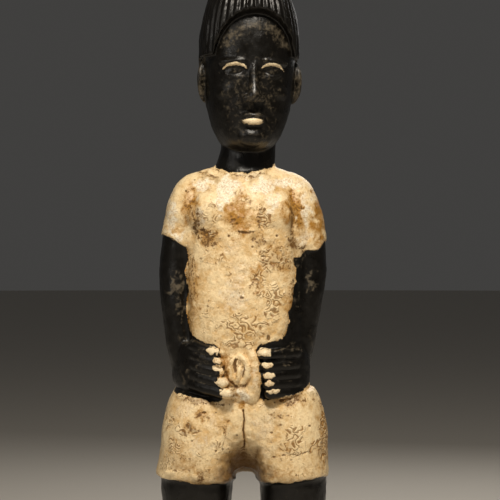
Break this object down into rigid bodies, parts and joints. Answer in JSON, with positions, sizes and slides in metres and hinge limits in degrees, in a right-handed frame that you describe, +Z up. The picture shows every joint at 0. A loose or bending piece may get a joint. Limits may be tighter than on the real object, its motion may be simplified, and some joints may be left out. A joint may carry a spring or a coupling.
{
  "type": "carved standing figure",
  "caption": "Standing figure carved in one block of wood with its round base, in short-sleeved shirt and shorts, hands on the belly beside a knotted navel, ridged hair, enamel paint.",
  "frame": {"origin": "centre of the base's underside, on the ground", "axes": "+Z up, the figure faces -Y and its left hand is on the +X side"},
  "size_m": [0.112, 0.112, 0.46],
  "materials": {
    "painted_wood": "worn enamel paint on carved wood"
  },
  "bodies": {
    "root": {"figure": "painted_wood"}
  },
  "joints": []
}
